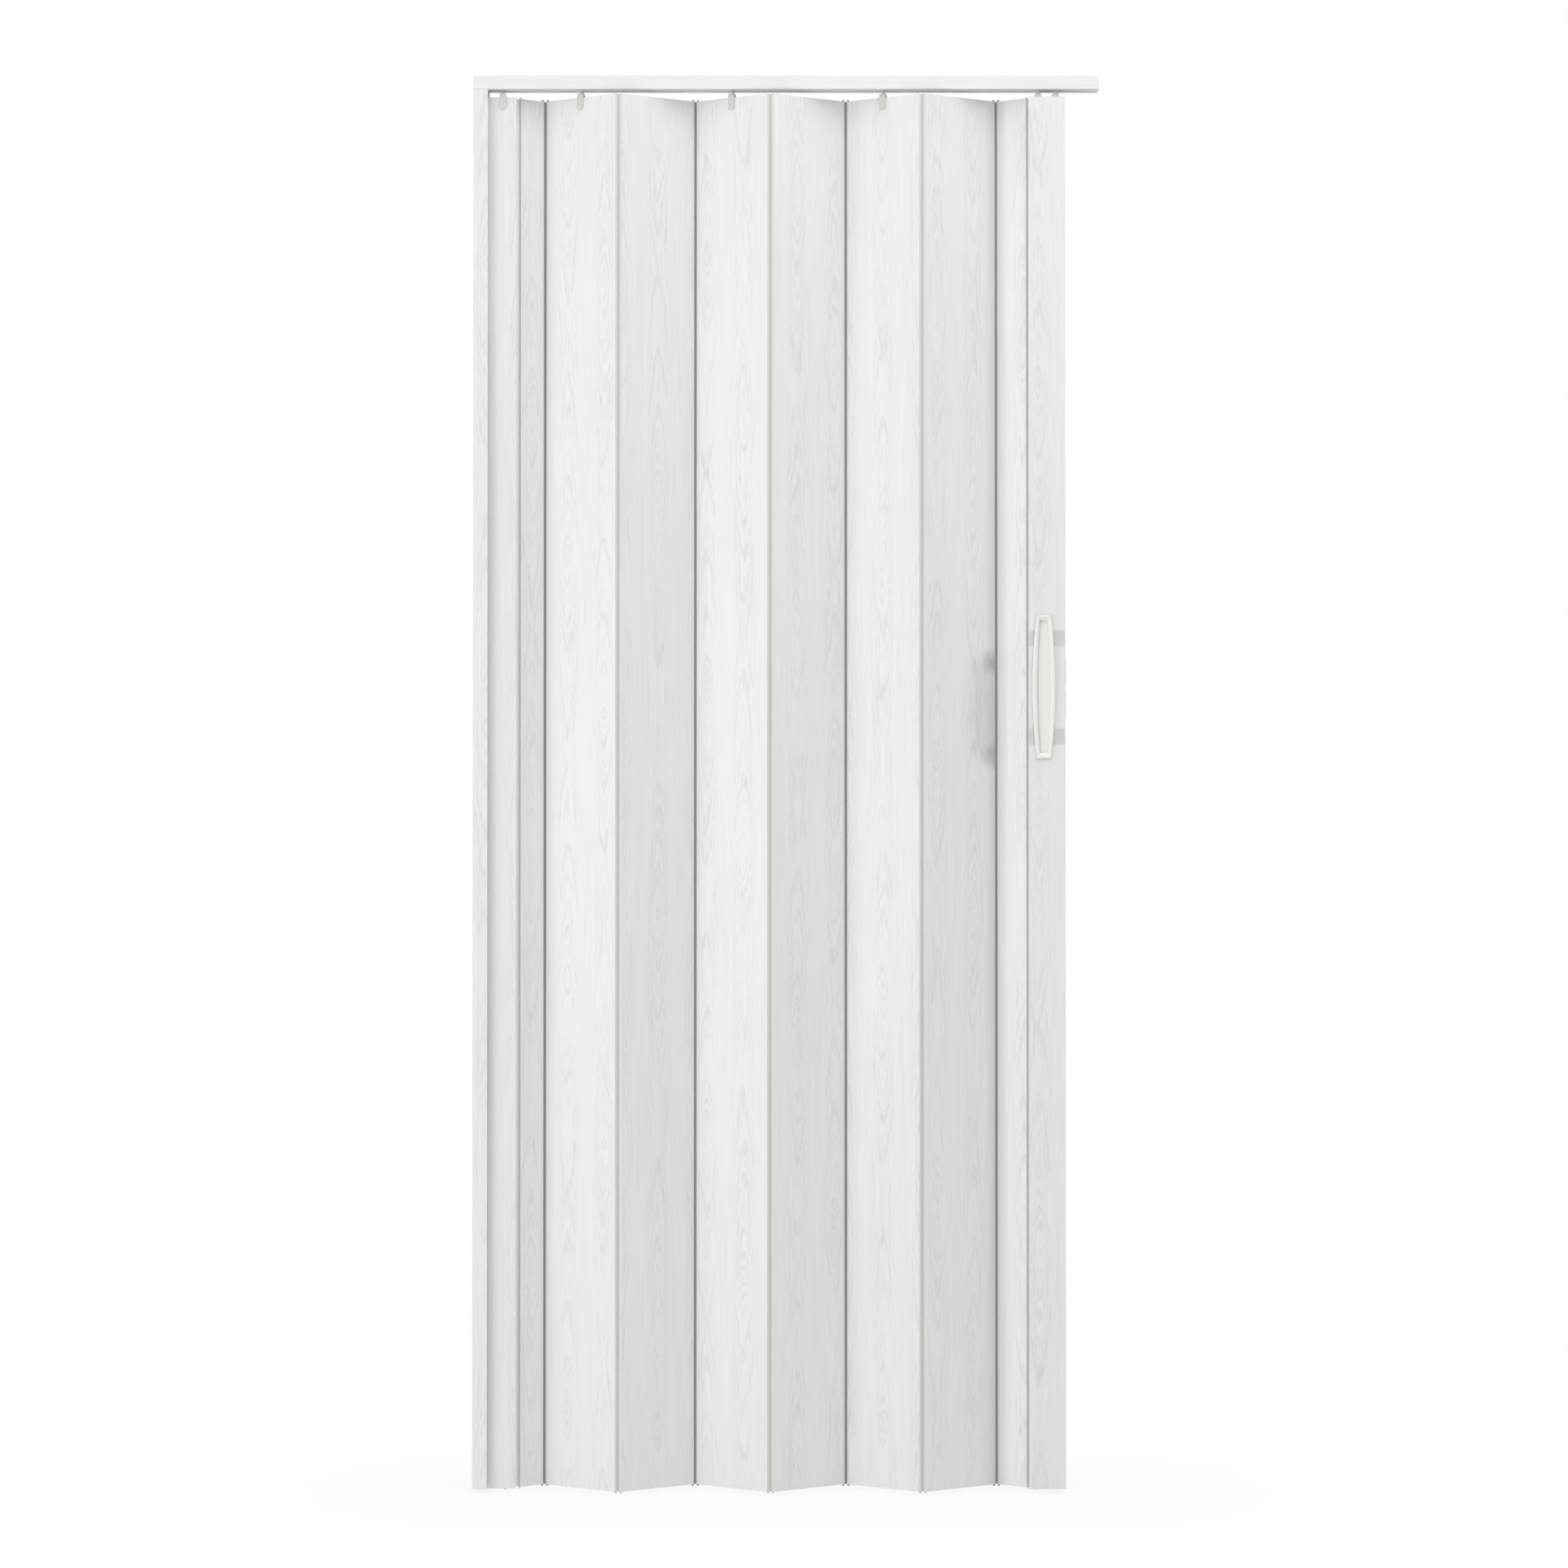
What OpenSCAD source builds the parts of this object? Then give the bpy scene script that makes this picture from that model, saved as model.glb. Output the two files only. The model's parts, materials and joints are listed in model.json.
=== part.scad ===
// Accordion folding door: hollow plastic lamellas on slide-in hinge strips, hung from a top rail.
// X runs along the rail, the front faces -Y, Z is up, and the origin is the middle of the rail's top.

/* [Opening] */
// Length of the top rail, which is the width of the doorway
opening_w = 900; // [800:10:1100]
// Height from the top of the rail to the lower end of the door
door_h = 2030; // [1500:10:2400]
// Free height between the rail and the lamellas
rail_gap = 10; // [9:0.5:14]
// Fold of each lamella as shown, measured from the rail
fold_angle = 30; // [23:1:75]
// Fold of each lamella when the doorway is closed
closed_angle = 22.5; // [20:0.5:22.5]
// Fold of each lamella when the door is pushed together
stacked_angle = 82; // [78:1:83]

/* [Top rail] */
// Depth of the rail, front to back
rail_d = 30; // [28:1:40]
// Height of the rail
rail_h = 20; // [18:1:28]
// Wall of the rail
rail_wall = 1.6; // [1.2:0.1:2.2]
// Width of the slot along the underside
slot_w = 7; // [6:0.5:9]
// Radius of the rail's long outer edges
rail_edge_r = 1; // [0.4:0.1:1.4]
// Radius of each fixing hole in the rail and the jamb
fixing_hole_r = 2.25; // [1.5:0.25:2.75]
// Distance from each rail end to its first fixing hole
rail_hole_inset = 50; // [20:5:80]

/* [Wall jamb] */
// Width of the jamb seen from the front
jamb_w = 21; // [18:1:30]
// Wall of the jamb
jamb_wall = 1.6; // [1.2:0.1:2.2]
// Length of the two legs that grip the start panel
grip_leg = 9; // [5:1:12]
// Distance from each jamb end to its first fixing hole
jamb_hole_inset = 220; // [60:10:300]

/* [Lamella] */
// Thickness of a lamella
leaf_t = 7; // [6:0.1:7.1]
// Outer wall of a lamella
leaf_wall = 0.8; // [0.6:0.1:1.2]
// Inner rib between two cells
leaf_rib = 0.7; // [0.5:0.1:1]
// Cells across a lamella, an odd number so that a hanger's blade finds the middle one
leaf_cells = 7; // [5:2:7]
// Distance from a bead's centre to the visible edge beside it
edge_reach = 0.8; // [0.6:0.1:1.2]

/* [Hinge strip] */
// Distance between the two beads of a strip
bead_gap = 7.2; // [7.2:0.1:9]
// Radius of a bead
bead_r = 1.6; // [1.3:0.05:1.65]
// Thickness of the web between two beads
web_t = 0.7; // [0.5:0.1:0.9]
// Length of bead that stands out above and below
bead_out = 2.5; // [0.5:0.5:4]
// Radial play of a bead in its socket
bead_play = 0.05; // [0.03:0.01:0.1]
// Wall that curls round a bead
lip_wall = 0.7; // [0.5:0.1:0.8]
// Distance between the beads of the wide strip at the start panel
start_strip_w = 22.5; // [20:0.5:26]
// Distance between the beads of the strip at the closing panel
end_strip_w = 13; // [12:0.5:16]

/* [Start panel] */
// Width of the start panel
start_w = 55.7; // [52:0.1:62]
// Thickness of the start panel
start_t = 12; // [11:0.5:16]
// Room between the wall jamb's web and the start panel, for screw heads
screw_room = 4.4; // [3:0.2:6]
// Distance from the start panel's free edge back to its pivot
start_pivot_in = 15.1; // [13:0.1:17]

/* [Closing panel] */
// Width of the closing panel
closing_w = 52; // [50:1:70]
// Thickness of the closing panel
closing_t = 24; // [22:1:34]
// Wall of the start and closing panels
panel_wall = 1.4; // [1:0.1:1.8]
// Distance from the closing panel's folding edge to its pivot
closing_pivot_in = 9.2; // [8:0.1:10]
// Distance from that pivot to the box of the closing panel
box_in = 3.2; // [3.1:0.1:5]
// Radius of the closing panel's outer edges
panel_edge_r = 1.2; // [0.5:0.1:2]
// Gap left beyond the closing panel when the doorway is closed
closed_gap = 1.5; // [1.5:0.1:4]

/* [Hangers] */
// Radius of a hanger's round head
head_r = 7; // [6:0.5:9]
// Height of a hanger's head
head_h = 4.5; // [3:0.5:7]
// Radius of a hanger's neck
neck_r = 2.4; // [1.8:0.1:2.6]
// Width of a hanger's shoulder and tab
tab_w = 9.4; // [8:0.2:11]
// Thickness of the tab in front of the lamella
tab_t = 2; // [1.4:0.1:3]
// Length of tab that reaches down over the lamella
tab_drop = 17.5; // [12:0.5:24]
// Depth of the blade that plugs into a cell
blade_drop = 18; // [10:1:30]
// Thickness of that blade
blade_t = 3; // [2:0.1:3.4]
// Height of the shoulder's foot on the lamella
foot_h = 2.5; // [1.5:0.1:3]
// Height of the shoulder's sloping part
shoulder_h = 3.5; // [2:0.1:4]
// Running height between a hanger's head and the rail's lips
glide_gap = 0.3; // [0.2:0.1:0.6]
// Distance from the start pivot back to its hanger
start_hanger_in = 4.8; // [4.8:0.1:6]
// Distance from the closing panel's pivot to its first hanger
hanger_from_pivot = 4.5; // [4:0.1:6]
// Distance between the closing panel's two hangers
hanger_pair = 25.7; // [24:0.1:28]

/* [Handles] */
// Height of a handle
handle_h = 206; // [150:2:260]
// Greatest width of a handle
handle_w = 33.2; // [29:0.2:35]
// Width of a handle's cut ends
handle_end_w = 21; // [19:0.2:24]
// Height of a handle's rim above the panel
handle_proud = 4.5; // [3:0.1:7]
// Width of the rim beside the recess, at the middle
rim_w = 7.5; // [5:0.1:8]
// Width of the rim at the ends
rim_end = 5; // [4:0.1:8]
// Depth of the recess below the panel's face
recess_d = 1; // [0.6:0.1:2]
// Depth of a handle's skirt behind the panel's face
skirt_d = 4.6; // [4.4:0.1:8]
// Lean of the recess wall at its sides
side_lean = 2.1; // [1:0.1:2.5]
// Lean of the recess wall at its ends
end_lean = 6; // [2:0.1:9]
// Wall of the skirt and thickness of the recess floor
bowl_wall = 1.4; // [1:0.1:1.8]
// Height of the handles' middle above the lower end of the door
handle_z = 1150; // [900:10:1200]
// Distance from the folding edge to the middle of the front handle
front_handle_in = 21.2; // [20:0.1:24]
// Distance from the closing edge to the middle of the rear handle
rear_handle_in = 20; // [19:0.1:20.5]

/* [Latch plate] */
// Height of the latch plate on the closing edge
latch_h = 83; // [60:1:100]
// Width of the latch plate
latch_w = 12; // [8:1:18]
// Height of its two pads above the edge
latch_proud = 1.3; // [0.8:0.1:1.4]
// Thickness of its base
latch_base = 0.5; // [0.3:0.1:0.7]
// Space between its two pads
latch_split = 8; // [4:1:16]

/* [Hidden] */
$fn = 48;
// Finishes
ash_white = [0.93, 0.93, 0.93];
strip_grey = [0.83, 0.83, 0.81];
nylon_grey = [0.82, 0.82, 0.80];
handle_white = [0.92, 0.925, 0.90];
// Number of full lamellas between the start flap and the end flap
lamellas = 6;
// Cells across the start flap and the end flap
flap_cells = 3;
// Small amount that lets a cut pass clean through
over = 1;
// Clearance between fixed pieces that slide together
slide_gap = 0.2;
// Clearance between the web of a strip and the side of its mouth
web_play = 0.1;
// Angle below the edge's outward direction at which the lip round a bead ends
lip_end = 18;
// Length of the cut that opens a mouth
mouth_reach = 12;
// Wall of the ring that a pivot bead turns in
ring_wall = 1.25;
// Distance from a pivot socket at which the ribs that carry its ring end
rib_end = 0.4;
// Solid end of a lamella, measured in from the bead's centre
solid_end = 3.4;
// Radii of the upper edge and the flat top of a hanger's crown
crown_r = 0.7 * head_r;
crown_flat_r = 0.4 * head_r;
// Bevel round the outer edge of a handle's rim
rim_bevel = 1.6;
// Reach and height of a snap hook at each end of a handle's skirt
hook_out = 1.4;
hook_h = 2.4;
// Parts that a handle's cross ribs divide the room behind its floor into
skirt_bays = 6;
// Half sizes of a handle's recess at its mouth
recess_mid = handle_w / 2 - rim_w;
recess_end = handle_end_w / 2 - rim_end;
recess_h = handle_h / 2 - rim_end;
// Radius of the socket that a bead turns in
socket_r = bead_r + bead_play;
// Outer radius of the lip
lip_r = socket_r + lip_wall;
// Outer radius of the pivot ring on a panel
ring_r = socket_r + ring_wall;
// Heights
rail_bottom = -rail_h;
leaf_top = -rail_h - rail_gap;
leaf_bottom = -door_h;
leaf_h = leaf_top - leaf_bottom;
handle_mid = leaf_bottom + handle_z;
// Places along the rail
rail_left = -opening_w / 2;
rail_right = opening_w / 2;
start_left = rail_left + jamb_wall + screw_room;
start_right = start_left + start_w;
start_pivot = start_right - start_pivot_in;
// The closing panel's pivot when the doorway is closed
closed_pivot = rail_right - closed_gap - closing_w + closing_pivot_in;
// Half links at both ends and whole lamellas between make this many equal folds
folds = lamellas + 1;
// Length of a lamella between its beads, so that the folds just fill the closed doorway
leaf_span = ((closed_pivot - start_pivot) / folds - bead_gap) / cos(closed_angle);
// Advance along the rail of one lamella and one strip at the fold shown
fold_step = leaf_span * cos(fold_angle) + bead_gap;
fold_depth = leaf_span / 2 * sin(fold_angle);
start_flap_span = leaf_span / 2 - start_strip_w;
end_flap_span = leaf_span / 2 - end_strip_w;
end_pivot = start_pivot + folds * fold_step;
closing_left = end_pivot - closing_pivot_in;
closing_right = closing_left + closing_w;
box_left = end_pivot + box_in;
box_rib = end_pivot + hanger_from_pivot + hanger_pair - tab_w / 2 - panel_wall;

// Middle of hinge strip k along the rail, from 1 at the start flap
function strip_x(k) = start_pivot + (k - 0.5) * fold_step;
// Odd strips lie at the back, even strips at the front
function strip_y(k) = (k % 2 == 1) ? fold_depth : -fold_depth;
// Middle of lamella k along the rail
function leaf_x(k) = (strip_x(k) + strip_x(k + 1)) / 2;
// Odd lamellas run from back left to front right
function leaf_turn(k) = (k % 2 == 1) ? -fold_angle : fold_angle;

// Extrusion that fills the height of the lamellas
module full_height() {
  translate([0, 0, leaf_bottom]) linear_extrude(leaf_h) children();
}

// Rectangle from one corner to the other
module rect(x0, y0, x1, y1) {
  translate([x0, y0]) square([x1 - x0, y1 - y0]);
}

// Rectangle with round corners
module round_rect(x0, y0, x1, y1, r) {
  rect(x0 + r, y0, x1 - r, y1);
  rect(x0, y0 + r, x1, y1 - r);
  for (x = [x0 + r, x1 - r], y = [y0 + r, y1 - r]) translate([x, y]) circle(r = r);
}

// Bead socket that opens outwards along +X and swings towards +Y
module socket_cut() {
  side = web_t / 2 + web_play;
  near = [-side * sin(stacked_angle), side * cos(stacked_angle)];
  far = near + mouth_reach * [cos(stacked_angle), sin(stacked_angle)];
  low = mouth_reach * [cos(lip_end), -sin(lip_end)];
  circle(r = socket_r);
  polygon([[0, 0], low, [mouth_reach, far[1]], far, near]);
}

// Section of a lamella: its right mouth opens to the back and its left mouth to the front
module leaf_section(span, cells) {
  inner = span - 2 * solid_end;
  cell = (inner + leaf_rib) / cells - leaf_rib;
  difference() {
    union() {
      rect(-span / 2 - edge_reach, -leaf_t / 2, span / 2 + edge_reach, leaf_t / 2);
      for (side = [-1, 1]) translate([side * span / 2, 0]) circle(r = lip_r);
    }
    for (turn = [0, 180]) rotate(turn) translate([span / 2, 0]) socket_cut();
    for (i = [0:cells - 1])
      translate([-inner / 2 + i * (cell + leaf_rib), leaf_wall - leaf_t / 2])
        square([cell, leaf_t - 2 * leaf_wall]);
  }
}

// Hinge strip from its left bead at the origin: two beads and the web between them
module strip(width, left_top, right_top) {
  for (side = [[0, left_top], [width, right_top]])
    translate([side[0], 0, leaf_bottom - bead_out])
      cylinder(r = bead_r, h = leaf_h + bead_out + side[1]);
  full_height() rect(0, -web_t / 2, width, web_t / 2);
}

// Round head, neck and sloping shoulder of a hanger, standing on the carried piece
module hanger_top() {
  lip_top = rail_bottom + rail_wall;
  head_base = lip_top + glide_gap;
  foot_top = leaf_top + foot_h;
  neck_base = foot_top + shoulder_h;
  bevel = head_h / 8;
  translate([0, 0, head_base]) rotate_extrude()
    polygon([[0, 0], [head_r - bevel, 0], [head_r, bevel], [head_r, head_h / 2],
             [crown_r, head_h - bevel], [crown_flat_r, head_h], [0, head_h]]);
  translate([0, 0, neck_base - over]) cylinder(r = neck_r, h = head_base - neck_base + 2 * over);
  translate([0, neck_r, 0]) rotate([90, 0, 0]) linear_extrude(2 * neck_r)
    polygon([[-tab_w / 2, foot_top], [tab_w / 2, foot_top], [neck_r, neck_base], [-neck_r, neck_base]]);
}

// Hanger with a tab over the front face, which lies at -half_t, and a blade behind that wall
module tab_hanger(half_t, wall, blade_left, blade_right) {
  tab_back = -half_t - slide_gap;
  blade_front = -half_t + wall + slide_gap;
  hanger_top();
  translate([-tab_w / 2, tab_back - tab_t, leaf_top])
    cube([tab_w, tab_t - tab_back + neck_r, foot_h]);
  translate([0, tab_back, leaf_top]) rotate([90, 0, 0]) linear_extrude(tab_t) {
    rect(-tab_w / 2, tab_w / 2 - tab_drop, tab_w / 2, over);
    translate([0, tab_w / 2 - tab_drop]) circle(r = tab_w / 2);
  }
  translate([blade_left, blade_front, leaf_top - blade_drop])
    cube([blade_right - blade_left, blade_t, blade_drop + over]);
}

// Hanger with only a blade, which plugs down into the closing panel
module plug_hanger(blade_left, blade_right) {
  hanger_top();
  translate([-tab_w / 2, -closing_t / 4, leaf_top]) cube([tab_w, closing_t / 2, foot_h]);
  translate([blade_left, -closing_t / 4, leaf_top - blade_drop])
    cube([blade_right - blade_left, closing_t / 2, blade_drop + over]);
}

module top_rail() {
  half = rail_d / 2;
  color(ash_white) difference() {
    rotate([90, 0, 90]) translate([0, 0, rail_left]) linear_extrude(opening_w) difference() {
      round_rect(-half, rail_bottom, half, 0, rail_edge_r);
      rect(rail_wall - half, rail_bottom + rail_wall, half - rail_wall, -rail_wall);
      rect(-slot_w / 2, rail_bottom - over, slot_w / 2, -rail_wall - over);
    }
    inner_hole = (opening_w - 2 * rail_hole_inset) / 6;
    for (x = [rail_left + rail_hole_inset, -inner_hole, inner_hole, rail_right - rail_hole_inset])
      translate([x, 0, -rail_wall - over]) cylinder(r = fixing_hole_r, h = rail_wall + 2 * over);
  }
}

module wall_jamb() {
  half = rail_d / 2;
  grip = start_t / 2 + slide_gap / 2;
  right = rail_left + jamb_w;
  jamb_h = rail_bottom - leaf_bottom;
  hole_rise = (jamb_h - 2 * jamb_hole_inset) / 3;
  color(ash_white) difference() {
    translate([0, 0, leaf_bottom]) linear_extrude(jamb_h) {
      rect(rail_left, -half, rail_left + jamb_wall, half);
      for (side = [0, 1]) mirror([0, side]) {
        rect(rail_left, -half, right, jamb_wall - half);
        rect(right - jamb_wall, -half, right, 2 * jamb_wall - half);
        rect(rail_left, -grip - jamb_wall, rail_left + jamb_wall + grip_leg, -grip);
      }
    }
    for (i = [0:3]) translate([rail_left - over, 0, leaf_bottom + jamb_hole_inset + i * hole_rise])
      rotate([0, 90, 0]) cylinder(r = fixing_hole_r, h = jamb_wall + 2 * over);
  }
}

// Ring that a pivot bead turns in, opening along +X and swinging towards +Y
module pivot_ring() {
  difference() {
    circle(r = ring_r);
    socket_cut();
  }
}

module start_panel() {
  half = start_t / 2;
  back_end = start_pivot - start_hanger_in - tab_w / 2 - slide_gap;
  color(ash_white) full_height() {
    rect(start_left, -half, start_right, panel_wall - half);
    rect(start_left, half - panel_wall, back_end, half);
    rect(start_right - panel_wall, -half, start_right, 2 * panel_wall - half);
    for (x = [start_left, (start_left + back_end) / 2, back_end - panel_wall])
      rect(x, -half, x + panel_wall, half);
    rect(back_end - over, -panel_wall / 2, start_pivot - socket_r - rib_end, panel_wall / 2);
    rect(start_pivot - panel_wall / 2, -half, start_pivot + panel_wall / 2, -socket_r - rib_end);
    translate([start_pivot, 0]) pivot_ring();
  }
}

module start_hanger() {
  clear = start_hanger_in - ring_r - slide_gap;
  color(nylon_grey) translate([start_pivot - start_hanger_in, 0, 0])
    tab_hanger(start_t / 2, panel_wall, -tab_w / 2, clear);
}

module start_hinge_strip() {
  color(strip_grey) translate([start_pivot, 0, 0]) rotate([0, 0, fold_angle])
    strip(start_strip_w, -slide_gap, bead_out);
}

module start_flap() {
  color(ash_white) translate([start_pivot, 0, 0]) rotate([0, 0, fold_angle])
    translate([start_strip_w + start_flap_span / 2, 0, 0]) full_height()
      mirror([0, 1]) leaf_section(start_flap_span, flap_cells);
}

module hinge_strip(k) {
  color(strip_grey) translate([strip_x(k) - bead_gap / 2, strip_y(k), 0])
    strip(bead_gap, bead_out, bead_out);
}

module lamella(k) {
  color(ash_white) translate([leaf_x(k), 0, 0]) rotate([0, 0, leaf_turn(k)]) full_height()
    mirror([0, (k + 1) % 2]) leaf_section(leaf_span, leaf_cells);
}

// Hanger i stands on the middle of lamella 2 i - 1
module hanger(i) {
  k = 2 * i - 1;
  color(nylon_grey) translate([leaf_x(k), 0, 0]) rotate([0, 0, leaf_turn(k)])
    tab_hanger(leaf_t / 2, leaf_wall, -tab_w / 2 + slide_gap, tab_w / 2 - slide_gap);
}

module end_flap() {
  color(ash_white) translate([end_pivot, 0, 0]) rotate([0, 0, -fold_angle])
    translate([-end_strip_w - end_flap_span / 2, 0, 0]) full_height()
      leaf_section(end_flap_span, flap_cells);
}

module end_hinge_strip() {
  color(strip_grey) translate([end_pivot, 0, 0]) rotate([0, 0, -fold_angle])
    translate([-end_strip_w, 0, 0]) strip(end_strip_w, bead_out, -slide_gap);
}

// Boat outline of a handle: straight ends and sides that bow outwards
module boat(mid, end, half_h) {
  steps = 12;
  rise = [for (i = [0:steps]) -1 + 2 * i / steps];
  right = [for (s = rise) [mid - (mid - end) * s * s, s * half_h]];
  left = [for (s = rise) [-(mid - (mid - end) * s * s), -s * half_h]];
  polygon(concat(right, left));
}

// Boat slab whose flat sides face front and back, from front to back
module boat_slab(mid, end, half_h, front, back) {
  translate([0, back, 0]) rotate([90, 0, 0]) linear_extrude(back - front) boat(mid, end, half_h);
}

// Snap hook at the upper end (end = 1) or lower end (end = -1) of a handle's skirt
module snap_hook(end) {
  translate([-recess_end / 2, panel_wall + slide_gap, end * (recess_h + bowl_wall)])
    rotate([0, 90, 0]) linear_extrude(recess_end)
      polygon([[end * over, 0], [-end * hook_out, 0], [0, hook_h], [end * over, hook_h]]);
}

// Room behind the floor of a handle's recess, between its skirt and its cross ribs
module skirt_room() {
  bay = 2 * recess_h / skirt_bays;
  difference() {
    boat_slab(recess_mid, recess_end, recess_h, recess_d + bowl_wall, skirt_d + over);
    for (i = [1:skirt_bays - 1])
      translate([-handle_w / 2, 0, -recess_h + i * bay - bowl_wall / 2])
        cube([handle_w, skirt_d + 2 * over, bowl_wall]);
  }
}

// Handle on a face at y = 0 that stands out towards -Y, with its skirt behind the face
module handle() {
  mouth = -handle_proud - over;
  difference() {
    union() {
      hull() {
        boat_slab(handle_w / 2, handle_end_w / 2, handle_h / 2, -handle_proud / 2, 0);
        boat_slab(handle_w / 2 - rim_bevel, handle_end_w / 2 - rim_bevel,
                  handle_h / 2 - rim_bevel, -handle_proud, 0);
      }
      boat_slab(recess_mid + bowl_wall, recess_end + bowl_wall, recess_h + bowl_wall,
                -handle_proud / 2, skirt_d);
      for (end = [-1, 1]) snap_hook(end);
    }
    hull() {
      boat_slab(recess_mid, recess_end, recess_h, mouth, -handle_proud);
      boat_slab(recess_mid - side_lean, recess_end - side_lean, recess_h - end_lean,
                mouth, recess_d);
    }
    skirt_room();
  }
}

// Window in the closing panel that a handle's skirt drops into, with room for its snap hooks
module handle_window() {
  half_w = recess_end / 2 + slide_gap;
  half_h = recess_h + bowl_wall + hook_out + slide_gap;
  boat_slab(recess_mid + bowl_wall + slide_gap, recess_end + bowl_wall + slide_gap,
            recess_h + bowl_wall + slide_gap, -over, skirt_d + slide_gap);
  translate([-half_w, panel_wall, -half_h])
    cube([2 * half_w, hook_h + 2 * slide_gap, 2 * half_h]);
}

// Places a front handle's frame on the closing panel
module at_front_handle() {
  translate([closing_left + front_handle_in, -closing_t / 2, handle_mid]) children();
}

// Places a rear handle's frame on the closing panel
module at_rear_handle() {
  translate([closing_right - rear_handle_in, closing_t / 2, handle_mid]) mirror([0, 1, 0]) children();
}

module closing_section() {
  half = closing_t / 2;
  difference() {
    round_rect(box_left, -half, closing_right, half, panel_edge_r);
    rect(box_left + panel_wall, panel_wall - half, closing_right - panel_wall, half - panel_wall);
  }
  rect(box_rib, -half + panel_wall / 2, box_rib + panel_wall, half - panel_wall / 2);
  rect(closing_left + panel_wall / 2, -half, closing_right - panel_edge_r, panel_wall - half);
  rect(closing_left, panel_wall / 2 - half, closing_left + panel_wall, 2 * panel_wall - half);
  translate([closing_left + panel_wall / 2, panel_wall / 2 - half]) circle(r = panel_wall / 2);
  rect(end_pivot - panel_wall / 2, -half, end_pivot + panel_wall / 2, -socket_r - rib_end);
  rect(end_pivot + socket_r + rib_end, -panel_wall / 2, box_left + panel_wall / 2, panel_wall / 2);
  translate([end_pivot, 0]) mirror([1, 0]) pivot_ring();
}

module closing_panel() {
  color(ash_white) difference() {
    full_height() closing_section();
    at_front_handle() handle_window();
    at_rear_handle() handle_window();
  }
}

module closing_hanger_1() {
  x = end_pivot + hanger_from_pivot;
  blade_left = box_left + panel_wall + slide_gap - x;
  color(nylon_grey) translate([x, 0, 0]) plug_hanger(blade_left, tab_w / 2);
}

module closing_hanger_2() {
  x = end_pivot + hanger_from_pivot + hanger_pair;
  color(nylon_grey) translate([x, 0, 0]) plug_hanger(-tab_w / 2 + slide_gap, tab_w / 2 - slide_gap);
}

module front_handle() {
  color(handle_white) at_front_handle() handle();
}

module rear_handle() {
  color(handle_white) at_rear_handle() handle();
}

module latch_plate() {
  pad_h = (latch_h - latch_split) / 2;
  color(handle_white) translate([closing_right, 0, handle_mid]) rotate([90, 0, 90]) {
    linear_extrude(latch_base) rect(-latch_w / 2, -latch_h / 2, latch_w / 2, latch_h / 2);
    for (side = [-1, 1]) translate([0, side * (pad_h + latch_split) / 2, 0])
      linear_extrude(latch_proud)
        round_rect(-latch_w / 2 + 1, -pad_h / 2, latch_w / 2 - 1, pad_h / 2, latch_w / 4);
  }
}

top_rail();
wall_jamb();
start_panel();
start_hanger();
start_hinge_strip();
start_flap();
hinge_strip(1);  // hinge_strip_1
lamella(1);  // lamella_1
hanger(1);  // hanger_1
hinge_strip(2);  // hinge_strip_2
lamella(2);  // lamella_2
hinge_strip(3);  // hinge_strip_3
lamella(3);  // lamella_3
hanger(2);  // hanger_2
hinge_strip(4);  // hinge_strip_4
lamella(4);  // lamella_4
hinge_strip(5);  // hinge_strip_5
lamella(5);  // lamella_5
hanger(3);  // hanger_3
hinge_strip(6);  // hinge_strip_6
lamella(6);  // lamella_6
hinge_strip(7);  // hinge_strip_7
end_flap();
end_hinge_strip();
closing_panel();
closing_hanger_1();
closing_hanger_2();
front_handle();
rear_handle();
latch_plate();
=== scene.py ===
import json
import math
import bmesh
import bpy
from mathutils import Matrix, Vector


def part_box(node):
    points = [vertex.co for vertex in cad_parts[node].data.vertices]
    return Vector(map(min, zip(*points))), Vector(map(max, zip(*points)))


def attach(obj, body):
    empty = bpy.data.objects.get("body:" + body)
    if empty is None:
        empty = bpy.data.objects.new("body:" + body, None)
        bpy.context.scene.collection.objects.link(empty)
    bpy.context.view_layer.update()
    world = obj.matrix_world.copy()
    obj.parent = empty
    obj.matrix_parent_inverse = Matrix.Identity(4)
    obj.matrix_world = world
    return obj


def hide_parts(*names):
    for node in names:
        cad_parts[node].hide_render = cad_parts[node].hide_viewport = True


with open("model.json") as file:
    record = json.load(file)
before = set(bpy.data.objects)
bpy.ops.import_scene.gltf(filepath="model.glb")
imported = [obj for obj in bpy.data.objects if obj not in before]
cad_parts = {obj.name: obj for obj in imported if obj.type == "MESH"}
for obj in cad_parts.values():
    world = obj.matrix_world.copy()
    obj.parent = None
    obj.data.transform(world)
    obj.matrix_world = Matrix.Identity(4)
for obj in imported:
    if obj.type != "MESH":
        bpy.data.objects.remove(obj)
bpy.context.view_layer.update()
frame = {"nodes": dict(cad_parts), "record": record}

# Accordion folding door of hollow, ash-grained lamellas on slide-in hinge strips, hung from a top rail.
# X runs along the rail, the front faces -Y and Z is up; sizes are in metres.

mm = 0.001

# Sizes that repeat the source
fold = math.radians(30)
leaf_half = 59.458 * mm
start_flap_half = 18.879 * mm
end_flap_half = 23.629 * mm
leaf_bottom = -2030 * mm
handle_height = 206 * mm
handle_mid = 33.2 * mm / 2
handle_end = 21 * mm / 2
handle_proud = 4.5 * mm
floor_wall = 1.4 * mm
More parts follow.
